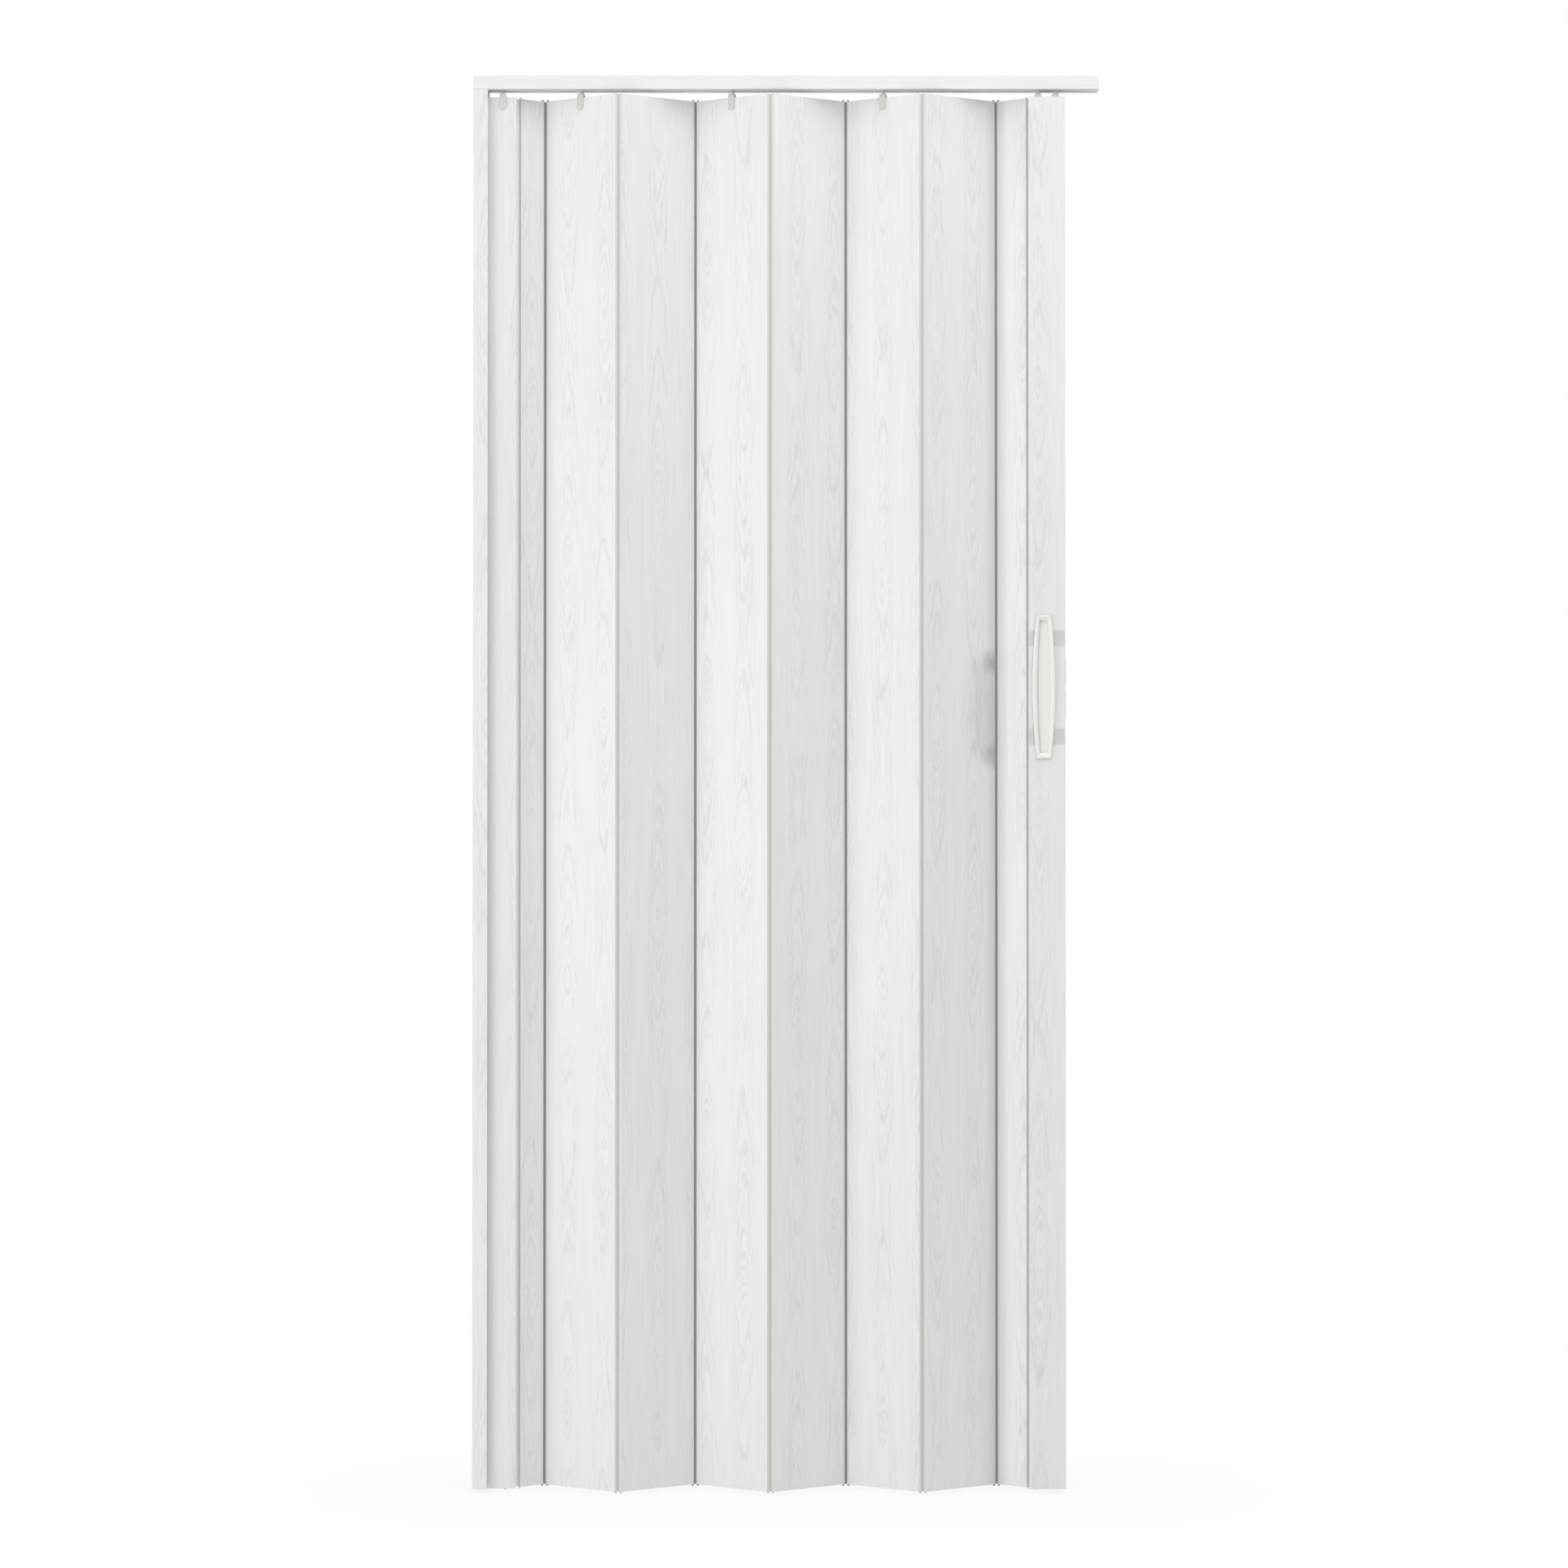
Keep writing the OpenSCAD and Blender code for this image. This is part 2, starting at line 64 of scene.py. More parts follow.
# Rounded rim of a handle from its outer edge to the floor of its recess: distance in from the side at
# the middle, distance in from the cut ends, and height above the panel's face
rim_profile = ((0.35, 0.3, 3.3), (0.9, 0.8, 4.0), (1.8, 1.6, 4.42), (2.9, 2.6, 4.5), (4.2, 3.5, 4.3),
               (5.3, 4.2, 3.8), (6.2, 5.2, 3.0), (6.8, 6.4, 2.0), (7.2, 7.6, 1.0), (7.7, 8.6, 0.2),
               (8.6, 9.3, -0.3), (9.7, 9.8, -0.5))

# A hanger from its head down; its tab's top lies above the foot's, as in the photo. The head's profile
# gives a radius and a height above its base
head_base = -18.1 * mm
head_profile = ((2.4, -0.5), (2.8, 0.0), (6.4, 0.0), (6.85, 0.2), (7.0, 0.6), (7.0, 2.25), (6.6, 2.9),
                (5.7, 3.6), (4.4, 4.1), (2.8, 4.4), (1.4, 4.5), (1.1, 4.2))
neck_r = 2.4 * mm
neck_base = -24 * mm
tab_top = -25.5 * mm
foot_top = -27.5 * mm
foot_base = -30 * mm
tab_half = 4.7 * mm
tab_t = 2 * mm
tab_round = -42.8 * mm
tab_bevel = 1.2 * mm
tab_top_share = 0.64
blade_base = -48 * mm
blade_in_foot = 0.6 * mm
# A closing hanger's foot and shoulder; the foot stays clear of the hinge strip that turns under it
closing_foot_gap = 0.15 * mm
closing_foot_top = -24.8 * mm
closing_foot_half = 6 * mm
closing_shoulder = (4.4 * mm, 3.2 * mm)
closing_shoulder_base = -25.2 * mm
closing_shoulder_top = -21 * mm
closing_shoulder_share = 0.55

# The latch plate: how far its pads' middles lie from its own, a pad's size and the plate's
pad_half = 22.75 * mm
pad_wide = 10 * mm
pad_high = 37.5 * mm
pad_corner = 3 * mm
strike_wide = 12 * mm
strike_high = 83 * mm
strike_t = 0.5 * mm

# The foil's print in millimetres: boards side by side, each with one heart in every repeat
board_wide = 62.0
print_long = 617.0
heart_up = 308.0

# In millimetres: the handles' middle above the closing panel's, and half a handle's height
handles_up = 150.0
handle_half = 103.0

# Light that all sides get alike
ambient = 0.69

bodies = frame["record"]["behaviour"]["bodies"]
node_body = {node: body for body, nodes in bodies.items() for node in nodes}


class Wire:
    """One output of a node, so that sums on it read as plain arithmetic."""

    def __init__(self, tree, socket):
        self.tree, self.socket = tree, socket

    def sum(self, operation, first, second=None):
        """A Math node on two values, each of them a Wire or a number."""
        node = self.tree.nodes.new("ShaderNodeMath")
        node.operation = operation
        for slot, value in zip(node.inputs, (first, second)):
            plug(self.tree, slot, value)
        return Wire(self.tree, node.outputs[0])

    def __add__(self, other): return self.sum("ADD", self, other)
    def __radd__(self, other): return self.sum("ADD", other, self)
    def __sub__(self, other): return self.sum("SUBTRACT", self, other)
    def __rsub__(self, other): return self.sum("SUBTRACT", other, self)
    def __mul__(self, other): return self.sum("MULTIPLY", self, other)
    def __rmul__(self, other): return self.sum("MULTIPLY", other, self)
    def __truediv__(self, other): return self.sum("DIVIDE", self, other)
    def __pow__(self, other): return self.sum("POWER", self, other)
    def __mod__(self, other): return self.sum("FLOORED_MODULO", self, other)
    def __abs__(self): return self.sum("ABSOLUTE", self)
    def __floor__(self): return self.sum("FLOOR", self)


def plug(tree, slot, value):
    """Links a Wire to a socket, or writes a plain value on it."""
    if isinstance(value, Wire):
        tree.links.new(value.socket, slot)
    elif value is not None:
        slot.default_value = value


class Net:
    """Adds nodes to one node tree."""

    def __init__(self, tree):
        self.tree = tree

    def add(self, kind, values=None, output=0, **settings):
        """Any node: its settings first, then the values or links of its sockets."""
        node = self.tree.nodes.new("ShaderNode" + kind)
        for key, value in settings.items():
            setattr(node, key, value)
        for key, value in (values or {}).items():
            plug(self.tree, node.inputs[key], value)
        return Wire(self.tree, node.outputs[output])

    def place(self, centre=(0, 0, 0), turn=(0, 0, 0)):
        """Coordinates in a piece's own frame, from its middle and along its own directions."""
        return self.add("Mapping", {"Vector": self.add("TexCoord", output="Object"), "Location": centre,
                                    "Rotation": turn}, vector_type="TEXTURE")

    def split(self, where, scale=1.0):
        """The three coordinates as three wires."""
        return [self.add("SeparateXYZ", {"Vector": where}, axis) * scale for axis in "XYZ"]

    def noise(self, where, scale, detail=2.0, roughness=0.5, distortion=0.0):
        return self.add("TexNoise", {"Vector": where, "Scale": scale, "Detail": detail,
                                     "Roughness": roughness, "Distortion": distortion})

    def stretched(self, across, up, wide, long, detail=2.0, layer=0.0, roughness=0.5):
        """Noise of spots that are so wide and so long."""
        where = self.add("CombineXYZ", {"X": across / wide, "Y": layer, "Z": up / long})
        return self.noise(where, 1.0, detail, roughness)

    def along(self, value, long, detail=1.0):
        """Noise along one line, about 0 and with peaks near 1 either way."""
        return (self.add("TexNoise", {"W": value / long, "Scale": 1.0, "Detail": detail},
                         noise_dimensions="1D") - 0.5) * 2.0

    def ramp(self, value, low, high):
        """0 below one value and 1 above the other, smooth between them."""
        return self.add("MapRange", {"Value": value, "From Min": low, "From Max": high},
                        interpolation_type="SMOOTHSTEP")

    def blend(self, share, first, second):
        """A colour between two colours."""
        node = self.tree.nodes.new("ShaderNodeMix")
        node.data_type = "RGBA"
        for slot, value in ((0, share), (6, first), (7, second)):
            plug(self.tree, node.inputs[slot], value)
        return Wire(self.tree, node.outputs[2])

    def white_ray(self):
        """1 for rays from the camera, off a mirror or through glass, and 0 for the light on the door."""
        first, second, third = [self.add("LightPath", output=name)
                                for name in ("Is Camera Ray", "Is Glossy Ray", "Is Transmission Ray")]
        return first.sum("MINIMUM", first + second + third, 1.0)


class Finish(Net):
    """A material with its Principled shader."""

    def __init__(self, name, **constants):
        self.material = bpy.data.materials.new(name)
        self.material.use_nodes = True
        super().__init__(self.material.node_tree)
        self.shader = self.tree.nodes["Principled BSDF"]
        for key, value in constants.items():
            self.shader.inputs[key.replace("_", " ")].default_value = value

    def finish(self, colour, roughness, height, depth):
        """Links colour and roughness, and a bump of that height pattern and depth."""
        bump = self.add("Bump", {"Height": height, "Distance": depth, "Strength": 0.5})
        for key, value in (("Base Color", colour), ("Roughness", roughness), ("Normal", bump)):
            plug(self.tree, self.shader.inputs[key], value)
        return self.material


def grey(level, warm=0.0):
    """A linear colour from an 8-bit grey, with a little less blue where it is warm."""
    def linear(c):
        c /= 255
        return c / 12.92 if c <= 0.04045 else ((c + 0.055) / 1.055) ** 2.4
    return (linear(level), linear(level), linear(level - warm), 1)


def ash_foil(name, centre, turn=(0, 0, 0), offset=0.0, half=None, inner=0, level=240,
             crease_shade_size=(7.0, 0.16), shade_mask=None):
    """White ash foil: each board of the print shows a column of arches between straight lines.
    offset slides the print so that no two pieces match; half is a lamella's half width, and inner
    is the sign of x times y at the two edges that look into a fold, where painted shade lies so wide and
    so dark. The last argument gives a mask of darker places: painted shade and shadow, and the closing
    panel's two greyer bands."""
    f = Finish("ash_foil_" + name, Specular_IOR_Level=0.4)
    x, y, z = f.split(f.place(centre, turn), 1 / mm)
    across = x + 0.3 * y + 30.0 * offset
    up = z + 1000.0 * offset
    # Arches point away from a board's heart both ways, close together near it and wider apart farther
    # off. side is the distance beside the heart and far the distance above or below it
    board = across / board_wide
    column = math.floor(board)
    sway = 3.5 * f.along(up + 371.0 * column, 110.0)
    side = abs((board - column - 0.5) * board_wide - sway)
    start = print_long * ((0.382 * column + 0.91 * offset) % 1.0)
    far = abs((up + start) % print_long - heart_up)
    warp = 1.5 * (f.stretched(across, up, 13.0, 75.0, 3) - 0.5)
    fibre = f.stretched(across, up, 0.55, 18.0, 1, 1.7)
    # A power of 2 would round the arches' tops, and 1 would point them
    point = 1.75
    ring = ((side / 3.2) ** point + (0.55 * (far + 4.0) ** 0.5) ** point) ** 0.571
    ring = ring + warp + 0.9 * (fibre - 0.5)
    line = (ring % 1.0) ** 2.0
    strong = f.ramp(f.stretched(ring * 3.0, up, 2.4, 120.0, 1, 3.3), 0.34, 0.62)
    nest = 1 - f.ramp(side + 5.0 * f.along(up + 40.0 * column, 60.0), 11.0, 20.0)
    arch = line * strong * nest * (0.2 + 1.6 * fibre)
    straight = f.stretched(across + warp * 3.0, up, 2.0, 110.0, 2, offset + 4.0, 0.6)
    streak = f.stretched(across, up, 1.1, 60.0, 3, offset, 0.6)
    vein = f.stretched(across, up, 6.0, 190.0, 2, 5.1)
    pore = f.ramp(fibre, 0.58, 0.72)
    cloud = f.stretched(across, up, 60.0, 330.0, 2, 8.8)
    dark = 0.44 * arch + (0.4 - 0.12 * nest) * (straight - 0.3) + 0.36 * (streak - 0.36)
    dark = dark + 0.3 * (vein - 0.45) + 0.2 * pore * (0.3 + line * nest) + 0.2 * (cloud - 0.5)
    colour = f.blend(dark, grey(level), grey(level - 34, 2))
    rough = 0.38 + 0.12 * streak + 0.08 * arch
    height = 0 - 0.6 * pore - 0.6 * streak
    # Painted shade and shadow from the mask, blended towards dark grey
    if shade_mask:
        colour = f.blend(shade_mask(f, x, y, z), colour, grey(120, 3))
    if half:
        # Raw core below the foil, painted a little darker where it looks into a fold, and painted shade
        # along the inside of each fold
        wide, thick = crease_shade_size
        core = 1 - f.ramp(abs(y), 3.30, 3.42)
        inside = f.ramp(inner * y * x / (half / mm), 0.3, 2.0)
        crease_shade = inside * f.ramp(abs(x), half / mm - wide, half / mm) ** 1.4
        colour = f.blend(core, f.blend(thick * crease_shade, colour, grey(150, 5)),
                         f.blend(inside, grey(228, 4), grey(214, 4)))
        rough = rough + 0.2 * core
    return f.finish(colour, rough, height, 0.06 * mm)


def bands(f, x, y, z):
    """Two greyer bands right across the closing panel, at its handle's two ends, and a thin line of
    painted shade round each handle where it meets the panel."""
    soft = 2.5

    def one(low, high):
        return f.ramp(z, low - soft, low + soft) * (1 - f.ramp(z, high - soft, high + soft))
    # The front handle's middle lies left of the panel's, the rear one's right of it
    from_middle = abs(x + 4.8 - 10.8 * f.ramp(y, -1.0, 1.0))
    wide, narrowing = 16.6, 6.1
    beside = from_middle - wide + narrowing * ((z - handles_up) / handle_half) ** 2.0
    outside = beside.sum("MAXIMUM", beside, abs(z - handles_up) - handle_half)
    # Painted shade: a thin dark line round each handle where it meets the panel
    ring = 1 - f.ramp(abs(outside - 0.5), 0.2, 1.7)
    return 0.24 * (one(67.1, 90.4) + one(208.2, 231.5)) + 0.2 * ring


def painted_shadow(f, x, y, z):
    """Painted shadow on the front of the lamella beside the closing panel's handle: two soft spots
    and a fainter field between them."""
    near_edge, upper, lower = 56.0, 188.0, 50.0

    def spot(height):
        ragged = 26.0 * (f.stretched(x, z, 2.4, 16.0, 3, 6.1) - 0.5)
        away = ((x - near_edge) ** 2.0 * 0.6 + (z - height) ** 2.0) ** 0.5
        return 1 - f.ramp(away + ragged, 3.0, 23.0)
    field = f.ramp(x, 2.0, 34.0) * f.ramp(z, 46.0, 66.0) * (1 - f.ramp(z, 178.0, 198.0))
    cloudy = f.stretched(x, z, 5.0, 40.0, 3, 2.2)
    front = f.ramp(0 - y, 0.0, 1.0)
    return front * (0.38 * (spot(upper) + spot(lower)) + 0.36 * field * cloudy)


def shaded_underside(f, x, y, z):
    """Painted shade on the rail's lower face, whose foil is turned so that X points up."""
    return 0.28 * (1 - f.ramp(x, -9.9, -9.5))


def soft_strip(name, centre, inner=0, level=222):
    """Soft grey-white strip: fine draw lines along it, faint dull patches, and painted shade on the side
    that looks into the fold (inner is that side's sign along Y)."""
    f = Finish("soft_strip_" + name)
    here = f.place(centre)
    x, y, z = f.split(here, 1 / mm)
    drawn = f.stretched(x + y, z, 0.7, 200.0)
    patch = f.noise(here, 26.0, 3)
    colour = f.blend(0.35 * drawn + 0.4 * patch, grey(level, 5), grey(level - 14, 6))
    if inner:
        # Painted shade on the side that looks into the fold
        colour = f.blend(f.ramp(inner * y, 0.1, 0.3), colour, grey(172, 4))
    return f.finish(colour, 0.42 + 0.2 * patch + 0.05 * drawn, drawn, 0.05 * mm)


def hanger_nylon(name, centre, level):
    """Moulded nylon: a fine spark-cut skin with slightly polished patches."""
    f = Finish("hanger_nylon_" + name)
    here = f.place(centre)
    skin = f.noise(here, 1500.0, 2)
    patch = f.noise(here, 90.0, 3)
    colour = f.blend(0.3 * skin + 0.5 * patch, grey(level, 5), grey(level - 14, 8))
    return f.finish(colour, 0.36 + 0.2 * patch + 0.06 * skin, skin, 0.04 * mm)


def crevice_shade(f, here, x, z):
    """Painted shade in the crevice round a handle's recess, with a painted shadow of the rim added on
    the side away from the closing edge.
    """
    floor_half, narrowing, floor_end = 8.6, 4.3, 94.4
    at_side = abs(x) - floor_half + narrowing * (z / handle_half) ** 2.0
    at_end = abs(z) - floor_end
    groove = 1 - f.ramp(abs(at_side.sum("MAXIMUM", at_side, at_end)), 0.2, 1.7)
    patchiness = 0.7 + 0.6 * f.noise(here, 60.0, 2)
    return groove * patchiness * (0.14 + 0.2 * f.ramp(0 - x, 0.0, 4.0))


def shell_plastic(name, centre, level=244, crevice=False):
    """Moulded white plastic: faint flow clouds, fine skin and a few hair scratches."""
    f = Finish(name)
    here = f.place(centre)
    x, y, z = f.split(here, 1 / mm)
    skin = f.noise(here, 1300.0, 2)
    flow = f.noise(here, 18.0, 3, 0.5, 0.6)
    hair = f.ramp(f.stretched(x + y, z, 1.1, 17.0, 1), 0.68, 0.78)
    colour = f.blend(0.3 * flow + 0.15 * skin + 0.3 * hair, grey(level, 5), grey(level - 12, 8))
    # Painted shade in the crevice round the recess, and the rim's painted shadow on one side
    if crevice:
        colour = f.blend(crevice_shade(f, here, x, z), colour, grey(120, 8))
    return f.finish(colour, 0.25 + 0.14 * flow + 0.12 * hair, skin - 0.5 * hair, 0.03 * mm)


def repaint(node, material):
    """Gives a CAD node another material."""
    mesh = frame["nodes"][node].data
    mesh.materials.clear()
    mesh.materials.append(material)


def middle(node):
    """The middle of a CAD node's box."""
    low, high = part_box(node)
    return tuple((a + b) / 2 for a, b in zip(low, high))


def dress_nodes():
    """Materials on the CAD nodes that stay."""
    repaint("wall_jamb", ash_foil("wall_jamb", middle("wall_jamb"), offset=0.91, level=240))
    repaint("start_panel", ash_foil("start_panel", middle("start_panel"), offset=2.07, level=238))
    repaint("closing_panel", ash_foil("closing_panel", middle("closing_panel"), offset=3.62, level=239,
                                      shade_mask=bands))
    repaint("top_rail", ash_foil("top_rail", middle("top_rail"), (0, math.radians(-90), 0), 6.2,
                                 level=241, shade_mask=shaded_underside))
    leaves = {"start_flap": (1, start_flap_half), "end_flap": (-1, end_flap_half)}
    for k in range(1, 7):
        leaves["lamella_%d" % k] = (-1 if k % 2 else 1, leaf_half)
    # Wider and darker painted shade in the fold between lamella_6 and end_flap
    crease_shade_sizes = {"lamella_6": (24.0, 0.2), "end_flap": (26.0, 0.26)}
    levels = {"start_flap": 243, "end_flap": 245}
    for i, (node, (way, half)) in enumerate(leaves.items()):
        repaint(node, ash_foil(node, middle(node), (0, 0, way * fold), 7.3 + 1.37 * i, half, -way,
                               levels.get(node, 240), crease_shade_sizes.get(node, (7.0, 0.16)),
                               painted_shadow if node == "lamella_6" else None))
    # The start and end strips are painted lighter than the others (250 against 222), to lift the shade
    # in their narrow gaps
    for node in ("start_hinge_strip", "end_hinge_strip"):
        repaint(node, soft_strip(node, middle(node), level=250))
    for k in range(1, 8):
        node = "hinge_strip_%d" % k
        repaint(node, soft_strip(node, middle(node), -1 if k % 2 else 1))


def open_piece(name, kind, **shape):
    """A primitive on its own, open in edit mode."""
    bpy.ops.object.select_all(action="DESELECT")
    getattr(bpy.ops.mesh, "primitive_%s_add" % kind)(**shape)
    piece = bpy.context.object
    piece.name = piece.data.name = name
    bpy.ops.object.transform_apply(location=True, rotation=True, scale=True)
    bpy.ops.object.mode_set(mode="EDIT")
    return piece


def select(piece, kind, test):
    """Selects the faces, edges or points whose middle (and normal, for faces) passes a test."""
    bpy.ops.mesh.select_mode(type=kind)
    bpy.ops.mesh.select_all(action="DESELECT")
    body = bmesh.from_edit_mesh(piece.data)
    if kind == "FACE":
        for face in body.faces:
            face.select_set(bool(test(face.calc_center_median(), face.normal)))
    elif kind == "EDGE":
        for edge in body.edges:
            edge.select_set(bool(test((edge.verts[0].co + edge.verts[1].co) / 2, edge.verts)))
    else:
        for point in body.verts:
            point.select_set(bool(test(point.co)))
    bpy.ops.mesh.select_mode(type=kind)
    bmesh.update_edit_mesh(piece.data)


def close_piece(piece, angle=35):
    """Merges doubles, turns the faces outwards, leaves edit mode and smooths what is below an angle."""
    bpy.ops.mesh.select_mode(type="VERT")
    bpy.ops.mesh.select_all(action="SELECT")
    bpy.ops.mesh.remove_doubles(threshold=0.00001)
    bpy.ops.mesh.normals_make_consistent(inside=False)
    bpy.ops.object.mode_set(mode="OBJECT")
    bpy.ops.object.shade_smooth_by_angle(angle=math.radians(angle))
    return piece


def stand_for(piece, node, material):
    """The piece takes a CAD node's place on its body, with the material given, and the node is hidden.
    """
    piece.data.materials.clear()
    piece.data.materials.append(material)
    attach(piece, node_body[node])
    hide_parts(node)


def boat(height, end_height, mid, end):
    """Half width of a boat outline at a height above its middle."""
    return mid - (mid - end) * (height / end_height) ** 2


def bow(piece, depth, half_height, wanted):
    """Spreads or narrows each pair of points at one depth to the half width wanted at its height."""
    body = bmesh.from_edit_mesh(piece.data)
    near = [p for p in body.verts if abs(p.co.y - depth) < 0.01 * mm and abs(p.co.z) < half_height]
    heights = sorted({round(p.co.z, 6) for p in near})
    widths = {h: max(p.co.x for p in near if abs(p.co.z - h) < 2e-6) for h in heights}
    for height, width in widths.items():
        select(piece, "VERT", lambda p: abs(p.y - depth) < 0.01 * mm and abs(p.z - height) < 3e-6)
        bpy.ops.transform.resize(value=(wanted(height) / width, 1, 1), center_override=(0, 0, 0))


def shell_handle(name):
    """Boat-shaped shell handle on a face at y = 0 that looks towards -Y: a rounded rim round a shallow
    recess, whose floor drops just behind the face."""
    half = handle_height / 2
    piece = open_piece(name, "grid", x_subdivisions=1, y_subdivisions=28, size=1,
                       rotation=(math.radians(90), 0, 0))
    bpy.ops.transform.resize(value=(2 * handle_mid, 1, handle_height), center_override=(0, 0, 0))
    bow(piece, 0, half + mm, lambda h: boat(h, half, handle_mid, handle_end))
    bpy.ops.mesh.select_mode(type="FACE")
    bpy.ops.mesh.select_all(action="SELECT")
    side_height = 2.4 * mm
    grow(0, -side_height, 0)
    # The front is inset ring by ring, each ring drawn to its place on the rim's profile
    depth, reach = -side_height, half
    for side_in, end_in, rise in rim_profile:
        select(piece, "FACE", lambda c, n: abs(c.y - depth) < 0.01 * mm)
        bpy.ops.mesh.inset(thickness=0.1 * mm, use_even_offset=True)
        bpy.ops.transform.translate(value=(0, -rise * mm - depth, 0))
        depth, new_reach = -rise * mm, half - end_in * mm
        bpy.ops.transform.resize(value=(1, 1, new_reach / (reach - 0.1 * mm)), center_override=(0, 0, 0))
        reach = new_reach
        bow(piece, depth, half, lambda h: boat(h, reach, handle_mid - side_in * mm,
                                               handle_end - 0.66 * side_in * mm))
    # The back of the floor drops into the panel's window
    select(piece, "FACE", lambda c, n: abs(c.y) < 0.01 * mm)
    back_rim = 3.6 * mm
    bpy.ops.mesh.inset(thickness=back_rim, use_even_offset=True)
    grow(0, floor_wall + 0.5 * mm, 0)
    return close_piece(piece, 40)


def put(piece, turn=0.0, place=(0, 0, 0)):
    """Turns a finished piece about Z, moves it and fixes that in its mesh."""
    bpy.ops.object.select_all(action="DESELECT")
    piece.select_set(True)
    bpy.context.view_layer.objects.active = piece
    piece.rotation_euler, piece.location = (0, 0, turn), place
    bpy.ops.object.transform_apply(location=True, rotation=True, scale=True)


def copy_of(piece, name):
    """A copy with its own mesh."""
    twin = piece.copy()
    twin.data = piece.data.copy()
    twin.name = twin.data.name = name
    bpy.context.scene.collection.objects.link(twin)
    return twin


def handles():
    """The front handle and the same handle turned round behind."""
    front = shell_handle("shell_handle_front")
    rear = copy_of(front, "shell_handle_rear")
    for piece, node, turn in ((front, "front_handle", 0.0), (rear, "rear_handle", math.pi)):
        x, _, z = middle(node)
        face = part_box(node)[0].y + handle_proud if turn == 0 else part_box(node)[1].y - handle_proud
        put(piece, turn, (x, face, z))
        stand_for(piece, node, shell_plastic("handle_plastic_" + node, (x, face, z), crevice=True))


def soften(offset, segments=2):
    """Rounds the sharp edges of the piece that is open."""
    bpy.ops.mesh.select_mode(type="EDGE")
    bpy.ops.mesh.select_all(action="DESELECT")
    bpy.ops.mesh.edges_select_sharp(sharpness=math.radians(35))
    bpy.ops.mesh.bevel(offset=offset, segments=segments, affect="EDGES", clamp_overlap=True)


def grow(x, y, z):
    """Extrudes what is selected by a step."""
    bpy.ops.mesh.extrude_region_move(TRANSFORM_OT_translate={"value": (x, y, z)})


def turned(name, rings):
    """A round body about Z through rings of a radius and a height in millimetres."""
    radius, height = rings[0]
    piece = open_piece(name, "circle", vertices=48, radius=radius * mm, fill_type="NGON",
                       location=(0, 0, height * mm))
    bpy.ops.mesh.select_mode(type="FACE")
    bpy.ops.mesh.select_all(action="SELECT")
    for new_radius, new_height in rings[1:]:
        grow(0, 0, (new_height - height) * mm)
        share = new_radius / radius
        bpy.ops.transform.resize(value=(share, share, 1), center_override=(0, 0, 0))
        radius, height = new_radius, new_height
    return close_piece(piece, 28)


def block(name, low, high, edge, top_share=1.0):
    """A block from its low corner to its high one, its top narrowed along X, with rounded edges."""
    middle_x, middle_y = (low[0] + high[0]) / 2, (low[1] + high[1]) / 2
    piece = open_piece(name, "plane", size=1, location=(middle_x, middle_y, low[2]))
    bpy.ops.mesh.select_all(action="SELECT")
    bpy.ops.transform.resize(value=(high[0] - low[0], high[1] - low[1], 1),
                             center_override=(middle_x, middle_y, low[2]))
    grow(0, 0, high[2] - low[2])
    bpy.ops.transform.resize(value=(top_share, 1, 1), center_override=(middle_x, middle_y, high[2]))
    soften(edge)
    return close_piece(piece)


def tab_and_foot(name, front, foot_back):
    """Round-ended tab whose top turns back into the foot under the neck."""
    piece = open_piece(name, "circle", vertices=40, radius=tab_half, fill_type="NOTHING",
                       location=(0, front, tab_round), rotation=(math.radians(90), 0, 0))
    select(piece, "VERT", lambda p: p.z > tab_round + 0.1 * mm)
    bpy.ops.mesh.delete(type="VERT")
    bpy.ops.mesh.select_all(action="SELECT")
    bpy.ops.mesh.edge_face_add()
    select(piece, "EDGE", lambda c, ends: all(abs(p.co.z - tab_round) < 0.01 * mm for p in ends))
    grow(0, 0, foot_base - tab_round)
    grow(0, 0, foot_top - foot_base)
    grow(0, 0, tab_top - foot_top)
    grow(0, 0, tab_bevel)
    bpy.ops.transform.resize(value=(tab_top_share, 1, 1),
                             center_override=(0, front, tab_top + tab_bevel))
    bpy.ops.mesh.select_mode(type="FACE")
    bpy.ops.mesh.select_all(action="SELECT")
    grow(0, tab_t, 0)
    select(piece, "FACE",
           lambda c, n: foot_base < c.z < foot_top and abs(c.y - front - tab_t) < 0.01 * mm)
    grow(0, foot_back - front - tab_t, 0)
    bpy.ops.mesh.select_all(action="SELECT")
    bpy.ops.mesh.normals_make_consistent(inside=False)
    soften(0.45 * mm, 3)
    return close_piece(piece)


def fused(parts):
    """Joins parts into the first of them."""
    main = parts[0]
    for part in parts[1:]:
        join = main.modifiers.new("join", "BOOLEAN")
        join.operation, join.solver, join.object = "UNION", "EXACT", part
        bpy.ops.object.select_all(action="DESELECT")
        main.select_set(True)
        bpy.context.view_layer.objects.active = main
        bpy.ops.object.modifier_apply(modifier="join")
        bpy.data.objects.remove(part)
    bpy.ops.object.shade_smooth_by_angle(angle=math.radians(32))
    return main


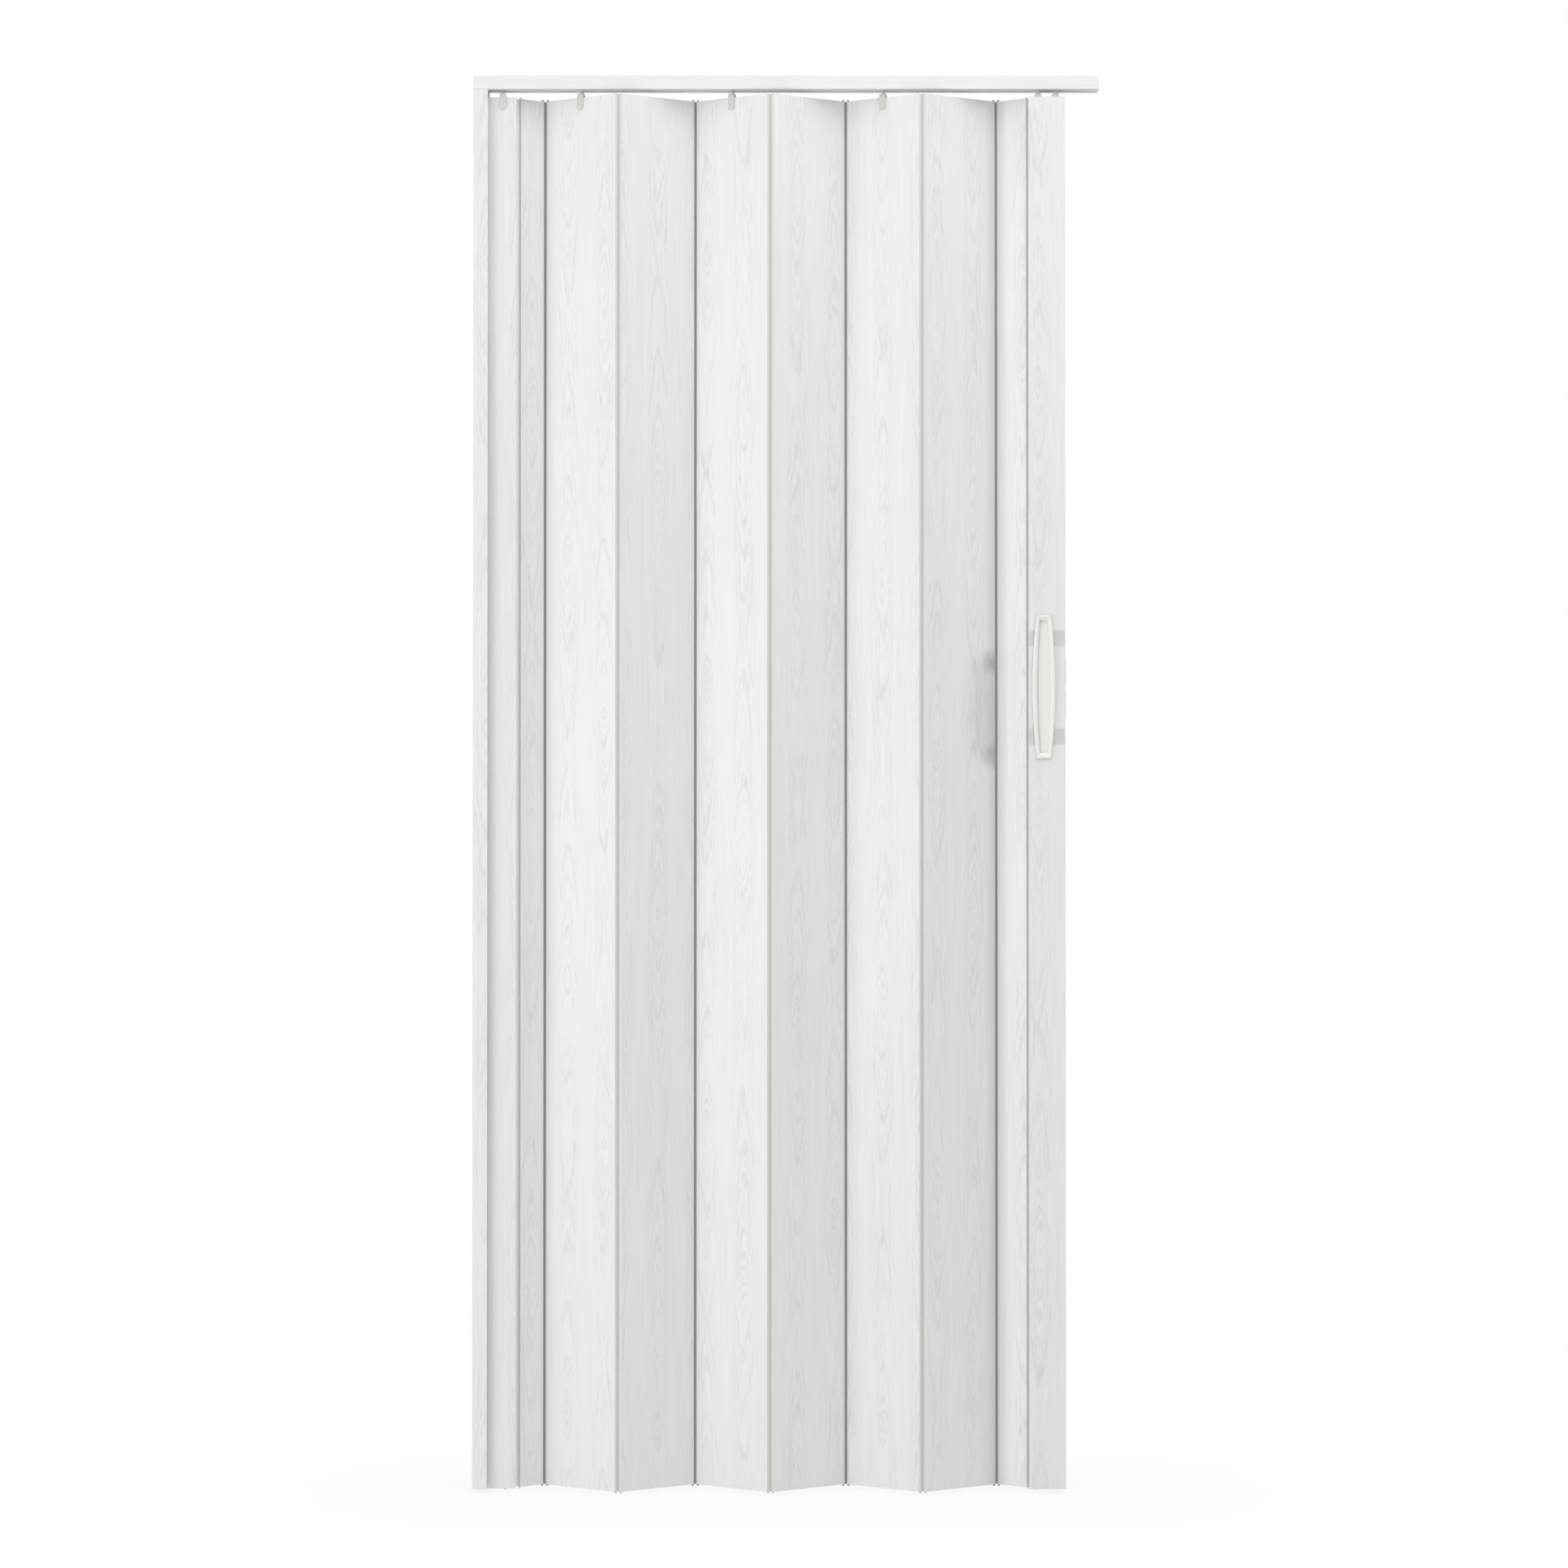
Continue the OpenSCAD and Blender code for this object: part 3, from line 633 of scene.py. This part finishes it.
def hanger(node, turn, blade_low, blade_high, front=None):
    """Mushroom-headed hanger: neck, tapered shoulder and foot, a blade in the cell and, where there is
    a front depth, a tab over the face."""
    low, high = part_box(node)
    base = head_base / mm
    rings = [(radius, base + up) for radius, up in head_profile]
    head = turned("nylon_" + node, [(neck_r / mm, neck_base / mm - 0.3), *rings])
    blade = block("blade", (*blade_low, blade_base), (*blade_high, foot_base + blade_in_foot), 0.35 * mm)
    if front is None:
        # Painted light: the closing hangers' nylon is lighter (241) than the tabbed hangers' (217), to
        # lift the shade of the rail above them
        level = 241
        half_wide, half_deep = closing_shoulder
        shoulder = block("shoulder", (-half_wide, -half_deep, closing_shoulder_base),
                         (half_wide, half_deep, closing_shoulder_top), 0.3 * mm, closing_shoulder_share)
        foot = block("foot", (-tab_half, -closing_foot_half, foot_base + closing_foot_gap),
                     (tab_half, closing_foot_half, closing_foot_top), 0.45 * mm)
    else:
        level = 217
        shoulder = block("shoulder", (-tab_half, -neck_r, foot_top - 0.4 * mm),
                         (tab_half, neck_r, neck_base), 0.4 * mm, neck_r / tab_half)
        foot = tab_and_foot("foot", front, neck_r)
    piece = fused([head, foot, blade, shoulder])
    put(piece, turn, ((low.x + high.x) / 2, 0, 0))
    stand_for(piece, node, hanger_nylon(node, middle(node), level))


def hangers():
    """All six: four with a tab over a panel or lamella, two plugged into the closing panel."""
    narrow, wide = -4.5 * mm, 4.5 * mm
    hanger("start_hanger", 0.0, (-tab_half, -4.4 * mm), (1.7 * mm, -1.4 * mm), -8.2 * mm)
    for k in (1, 2, 3):
        hanger("hanger_%d" % k, -fold, (narrow, -2.5 * mm), (wide, 0.5 * mm), -5.7 * mm)
    hanger("closing_hanger_1", 0.0, (0.3 * mm, -6 * mm), (tab_half, 6 * mm))
    hanger("closing_hanger_2", 0.0, (narrow, -6 * mm), (wide, 6 * mm))


def latch_pad(side):
    """A rounded pad with a shallow dish, facing +X."""
    piece = open_piece("pad", "plane", size=1, rotation=(0, math.radians(90), 0))
    bpy.ops.mesh.select_all(action="SELECT")
    bpy.ops.transform.resize(value=(1, pad_wide, pad_high), center_override=(0, 0, 0))
    bpy.ops.mesh.select_mode(type="VERT")
    bpy.ops.mesh.bevel(offset=pad_corner, segments=6, affect="VERTICES")
    bpy.ops.mesh.select_mode(type="FACE")
    bpy.ops.mesh.select_all(action="SELECT")
    bpy.ops.transform.translate(value=(0.2 * mm, 0, side * pad_half))
    grow(0.7 * mm, 0, 0)
    # Two short steps round the outer edge, then a rim and the dish behind it
    bpy.ops.mesh.inset(thickness=0.12 * mm)
    bpy.ops.transform.translate(value=(0.28 * mm, 0, 0))
    bpy.ops.mesh.inset(thickness=0.28 * mm)
    bpy.ops.transform.translate(value=(0.12 * mm, 0, 0))
    bpy.ops.mesh.inset(thickness=1.1 * mm)
    bpy.ops.mesh.inset(thickness=0.4 * mm)
    bpy.ops.transform.translate(value=(-0.25 * mm, 0, 0))
    return close_piece(piece)


def latch_plate():
    """Strike plate on the closing edge with its two pads."""
    plate = block("latch_strike", (0, -strike_wide / 2, -strike_high / 2),
                  (strike_t, strike_wide / 2, strike_high / 2), 0.15 * mm)
    piece = fused([plate, latch_pad(-1), latch_pad(1)])
    low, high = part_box("latch_plate")
    put(piece, 0.0, (low.x, 0, (low.z + high.z) / 2))
    stand_for(piece, "latch_plate", shell_plastic("latch_plastic", middle("latch_plate"), level=236))


def floor():
    """Pale floor just below the beads: white to the camera away from the door, with its shadow near."""
    bpy.ops.object.select_all(action="DESELECT")
    bpy.ops.mesh.primitive_plane_add(size=24, location=(0, 0, leaf_bottom - 6 * mm))
    plane = bpy.context.object
    plane.name = "floor"
    bpy.ops.object.transform_apply(location=True)
    f = Finish("floor", Roughness=0.9)
    f.shader.inputs["Base Color"].default_value = grey(238)
    x, y, z = f.split(f.place())
    # How far a point lies from the line that the door stands over
    door_half, shadow_reach = 0.42, 0.45
    beside = abs(x).sum("MAXIMUM", abs(x) - door_half, 0.0)
    away = f.ramp((beside * beside + y * y) ** 0.5, 0.02, shadow_reach)
    shine = f.add("Emission", {"Color": (1, 1, 1, 1), "Strength": 1.0})
    base = Wire(f.tree, f.shader.outputs[0])
    mixed = f.add("MixShader", {0: f.white_ray() * (0.88 + 0.12 * away), 1: base, 2: shine})
    plug(f.tree, f.tree.nodes["Material Output"].inputs["Surface"], mixed)
    plane.data.materials.append(f.material)


def surround():
    """Soft light from all sides, seen as white by the camera."""
    world = bpy.data.worlds.new("studio")
    bpy.context.scene.world = world
    world.use_nodes = True
    world.node_tree.nodes.clear()
    net = Net(world.node_tree)
    dim = net.add("Background", {"Color": (1, 1, 1, 1), "Strength": ambient})
    bright = net.add("Background", {"Color": (1, 1, 1, 1), "Strength": 1.0})
    mixed = net.add("MixShader", {0: net.white_ray(), 1: dim, 2: bright})
    plug(net.tree, net.tree.nodes.new("ShaderNodeOutputWorld").inputs["Surface"], mixed)


def lamp(name, place, aim, width, height, power):
    """A large soft light, wide and high in metres."""
    light = bpy.data.lights.new(name, "AREA")
    light.shape = "RECTANGLE"
    light.size, light.size_y = width, height
    light.energy = power
    thing = bpy.data.objects.new(name, light)
    bpy.context.scene.collection.objects.link(thing)
    thing.location = place
    thing.rotation_euler = (Vector(aim) - Vector(place)).to_track_quat("-Z", "Y").to_euler()


def camera():
    """A long lens, a little below the middle of the door, as the photo was taken."""
    lens = bpy.data.cameras.new("camera")
    lens.lens, lens.sensor_width = 85, 36
    lens.shift_y = -0.01219
    lens.clip_end = 60
    thing = bpy.data.objects.new("camera", lens)
    bpy.context.scene.collection.objects.link(thing)
    thing.location = (-0.00316, -5.3288, -1.0544)
    thing.rotation_euler = (math.radians(90.6714), 0, 0)
    bpy.context.scene.camera = thing


dress_nodes()
handles()
hangers()
latch_plate()
floor()
surround()
lamp("key", (-2.6, -1.6, -1.25), (0, 0, -1.1), 1.4, 3.2, 35.5)
lamp("fill", (1.0, -1.1, 1.2), (0, 0, -1), 2.2, 2.2, 21.5)
camera()
bpy.context.scene.view_settings.view_transform = "Standard"
